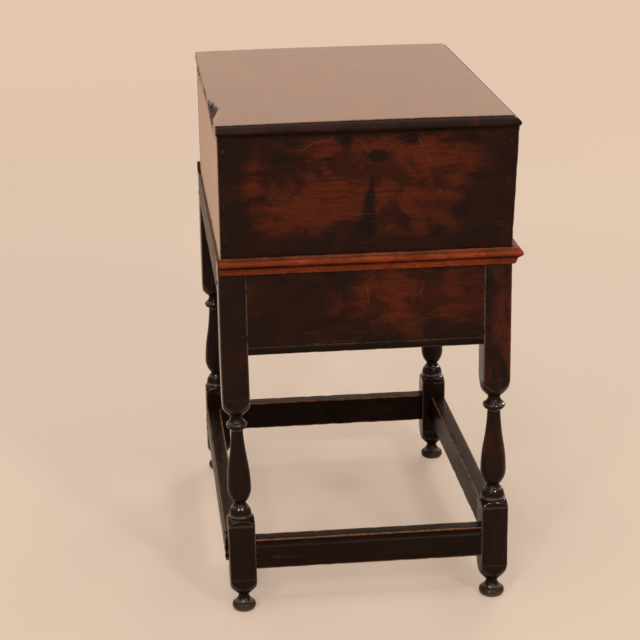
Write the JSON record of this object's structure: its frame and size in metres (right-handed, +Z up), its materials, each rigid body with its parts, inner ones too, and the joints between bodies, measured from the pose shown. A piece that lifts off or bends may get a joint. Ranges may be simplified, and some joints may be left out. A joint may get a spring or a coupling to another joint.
{
  "type": "bible box on stand",
  "caption": "Boarded oak box with a hinged lid and iron lock, dropped inside the moulded lip of a joined stand with turned legs, aprons and low stretchers.",
  "frame": {"origin": "on the floor, at the middle of the whole footprint", "axes": "+X to the right seen from the front, +Y from the front to the back, +Z up"},
  "size_m": [0.673, 0.465, 0.7909],
  "materials": {
    "dark_oak": "old waxed polish, near black with red-brown patches",
    "turned_oak": "glossy waxed polish, near black",
    "moulding_oak": "waxed polish worn to a warm red-brown",
    "lid_oak": "rubbed waxed polish, mid brown",
    "plain_oak": "dry, dusty, unpolished brown",
    "iron": "forged, dark and slightly rusted"
  },
  "bodies": {
    "stand": {"leg_front_left": "turned_oak", "leg_front_right": "turned_oak", "leg_back_left": "turned_oak", "leg_back_right": "turned_oak", "apron_front": "dark_oak", "apron_left": "dark_oak", "apron_right": "dark_oak", "rail_back": "plain_oak", "stretcher_front": "dark_oak", "stretcher_back": "plain_oak", "stretcher_left": "dark_oak", "stretcher_right": "dark_oak", "moulding_front": "moulding_oak", "moulding_left": "moulding_oak", "moulding_right": "moulding_oak", "moulding_nails": "iron", "apron_pegs": "turned_oak", "stretcher_pegs": "turned_oak"},
    "box": {"box_front": "dark_oak", "box_back": "plain_oak", "box_left_end": "dark_oak", "box_right_end": "dark_oak", "box_bottom": "plain_oak", "box_corner_nails": "iron", "box_bottom_nails": "iron", "hinge_left_box_leaf": "iron", "hinge_right_box_leaf": "iron", "hinge_left_pin": "iron", "hinge_right_pin": "iron", "hinge_box_nails": "iron", "lock_case": "iron", "lock_spring": "iron", "lock_nails": "iron", "escutcheon": "iron", "escutcheon_nails": "iron"},
    "lid": {"lid": "lid_oak", "lid_staple": "iron", "staple_nails": "iron", "hinge_left_lid_leaf": "iron", "hinge_right_lid_leaf": "iron", "hinge_lid_nails": "iron"},
    "bolt": {"lock_bolt": "iron"}
  },
  "joints": [
    {"name": "box_lift", "type": "slide", "parent": "stand", "child": "box", "axis": [0, 0, 1], "range_m": [0, 0.04]},
    {"name": "lid_hinge", "type": "hinge", "parent": "box", "child": "lid", "pos_m": [0, 0.22785, 0.7762], "axis": [-1, 0, 0], "range_deg": [0, 110]},
    {"name": "bolt_slide", "type": "slide", "parent": "box", "child": "bolt", "axis": [1, 0, 0], "range_m": [0, 0.014]}
  ]
}
